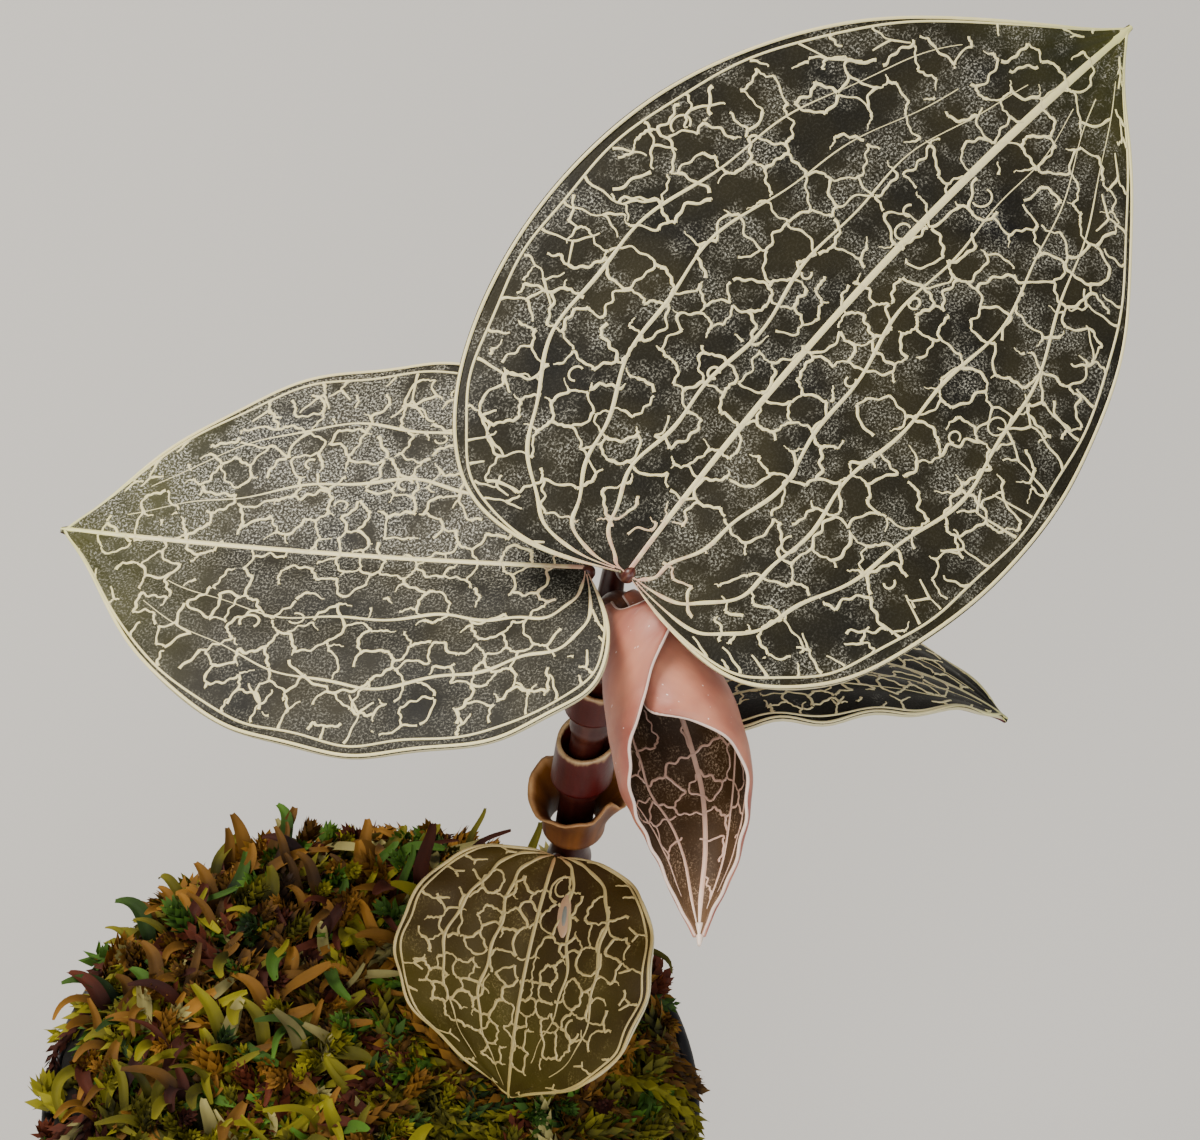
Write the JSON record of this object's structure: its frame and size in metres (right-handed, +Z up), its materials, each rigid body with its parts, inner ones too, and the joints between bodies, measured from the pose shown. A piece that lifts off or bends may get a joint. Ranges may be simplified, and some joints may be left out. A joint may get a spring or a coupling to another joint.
{
  "type": "jewel orchid",
  "caption": "Jewel orchid in a small round nursery pot: dark velvety veined leaves and one rolled young leaf on a stem rooted in moss.",
  "frame": {"origin": "centre of the pot's underside", "axes": "+Z up, -Y towards the front of the plant, +X to its right as seen from the front"},
  "size_m": [0.0909, 0.0871, 0.125],
  "materials": {
    "pot": "satin black moulded plastic",
    "moss": "matte damp fibre, olive to ochre",
    "stem": "smooth reddish brown plant skin",
    "leaf": "velvety near-black blade with pale raised veins",
    "young_leaf": "salmon pink underside of a young blade, fine glitter",
    "old_sheath": "dry orange-brown papery sheath"
  },
  "bodies": {
    "root": {"pot": "pot", "moss": "moss", "stem": "stem", "leaf_top": "leaf", "leaf_left": "leaf", "leaf_right": "leaf", "leaf_low": "leaf", "leaf_young": "young_leaf", "old_sheath": "old_sheath"}
  },
  "joints": []
}
